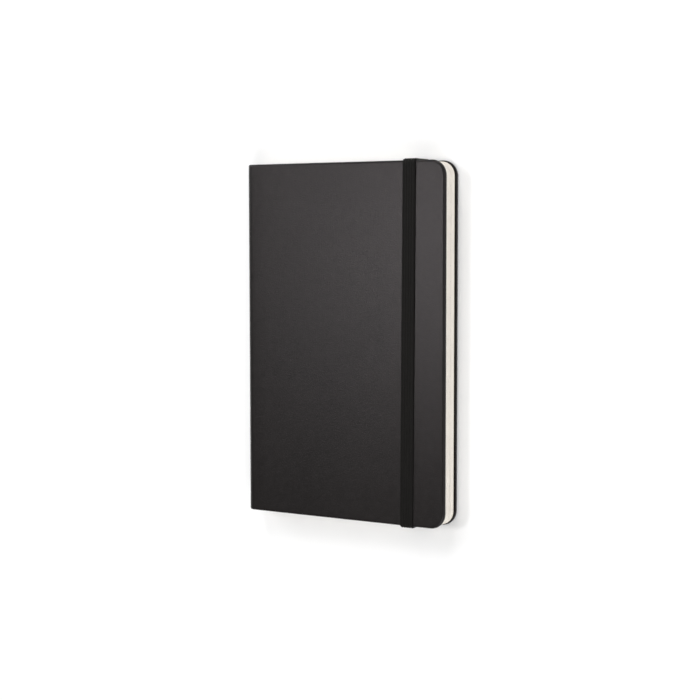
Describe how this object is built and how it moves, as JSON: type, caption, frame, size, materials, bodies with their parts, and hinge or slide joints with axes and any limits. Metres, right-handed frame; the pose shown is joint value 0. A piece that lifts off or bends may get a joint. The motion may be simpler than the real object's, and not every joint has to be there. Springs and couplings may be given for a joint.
{
  "type": "pocket notebook",
  "caption": "Slim hard-cover pocket notebook in black leatherette with rounded fore-edge corners, elastic closure, sewn pages, ribbon marker and inner pocket.",
  "frame": {"origin": "middle of the closed notebook's footprint, on the surface it lies on", "axes": "+X from the spine towards the fore-edge, +Y towards the head, +Z out of the front cover"},
  "size_m": [0.09, 0.1414, 0.0121],
  "materials": {
    "cover": "satin black fine-grained leatherette over board",
    "board": "grey binder's board",
    "endpaper": "matte ivory endpaper",
    "page": "matte ivory writing paper",
    "cloth": "black pocket cloth, plain weave",
    "mull": "open gauze set in glue",
    "thread": "waxed linen thread",
    "ribbon": "black satin ribbon",
    "elastic": "matte black knitted elastic, ribbed lengthwise"
  },
  "bodies": {
    "back_cover": {"back_cover_wrap": "cover", "back_board": "board", "back_pastedown": "endpaper", "back_hinge_cloth": "cover", "elastic_anchor_head": "elastic", "elastic_anchor_tail": "elastic", "pocket_gusset_spine": "cloth", "pocket_gusset_fore": "cloth", "pocket_base_strip": "cloth"},
    "pocket": {"pocket_panel": "endpaper"},
    "text_block": {"back_flyleaf": "endpaper", "signature_09": "page", "signature_10": "page", "signature_11": "page", "signature_12": "page", "signature_13": "page", "signature_14": "page", "spine_mull": "mull", "sewing_thread": "thread"},
    "ribbon": {"ribbon_marker": "ribbon"},
    "leaf_1": {"turning_leaf_1": "page"},
    "leaf_2": {"turning_leaf_2": "page"},
    "left_pages": {"signature_01": "page", "signature_02": "page", "signature_03": "page", "signature_04": "page", "signature_05": "page", "signature_06": "page", "signature_07": "page", "signature_08": "page", "front_flyleaf": "endpaper"},
    "spine": {"spine_stiffener": "board", "spine_wrap": "cover", "front_hinge_cloth": "cover"},
    "front_cover": {"front_cover_wrap": "cover", "front_board": "board", "front_pastedown": "endpaper"},
    "elastic": {"elastic_band": "elastic"}
  },
  "joints": [
    {"name": "front_cover_open", "type": "hinge", "parent": "spine", "child": "front_cover", "pos_m": [-0.0432, 0, 0.0096], "axis": [0, -1, 0], "range_deg": [0, 90], "deforming": ["front_hinge_cloth"]},
    {"name": "spine_lean", "type": "hinge", "parent": "text_block", "child": "spine", "pos_m": [-0.0432, 0, 0.0018], "axis": [0, -1, 0], "range_deg": [0, 90], "deforming": ["back_hinge_cloth"]},
    {"name": "left_pages_turn", "type": "hinge", "parent": "text_block", "child": "left_pages", "pos_m": [-0.0432, 0, 0.0057], "axis": [0, -1, 0], "range_deg": [0, 180], "deforming": ["spine_mull", "sewing_thread"]},
    {"name": "leaf_1_turn", "type": "hinge", "parent": "text_block", "child": "leaf_1", "pos_m": [-0.0432, 0, 0.0057], "axis": [0, -1, 0], "range_deg": [0, 68]},
    {"name": "leaf_2_turn", "type": "hinge", "parent": "text_block", "child": "leaf_2", "pos_m": [-0.0432, 0, 0.0057], "axis": [0, -1, 0], "range_deg": [0, 128]},
    {"name": "elastic_unhook", "type": "hinge", "parent": "back_cover", "child": "elastic", "pos_m": [0.0373, 0, -0.003], "axis": [0, 1, 0], "range_deg": [0, 90], "deforming": ["elastic_band"]},
    {"name": "text_block_lift", "type": "hinge", "parent": "back_cover", "child": "text_block", "pos_m": [-0.0432, 0, 0.0018], "axis": [0, 1, 0], "range_deg": [-90, 0]},
    {"name": "pocket_open", "type": "hinge", "parent": "back_cover", "child": "pocket", "pos_m": [0, -0.065, 0.0023], "axis": [1, 0, 0], "range_deg": [0, 3.6], "deforming": ["pocket_gusset_spine", "pocket_gusset_fore"]},
    {"name": "ribbon_swing", "type": "hinge", "parent": "text_block", "child": "ribbon", "pos_m": [-0.037, 0.066, 0.00545], "axis": [0, 0, 1], "range_deg": [0, 28]}
  ],
  "couplings": [
    {"joint": "spine_lean", "follows": "front_cover_open", "ratio": 1},
    {"joint": "left_pages_turn", "follows": "front_cover_open", "ratio": 2},
    {"joint": "leaf_1_turn", "follows": "front_cover_open", "ratio": 0.75556},
    {"joint": "leaf_2_turn", "follows": "front_cover_open", "ratio": 1.4222},
    {"joint": "elastic_unhook", "follows": "front_cover_open", "ratio": 1},
    {"joint": "pocket_open", "follows": "text_block_lift", "ratio": -0.04}
  ]
}
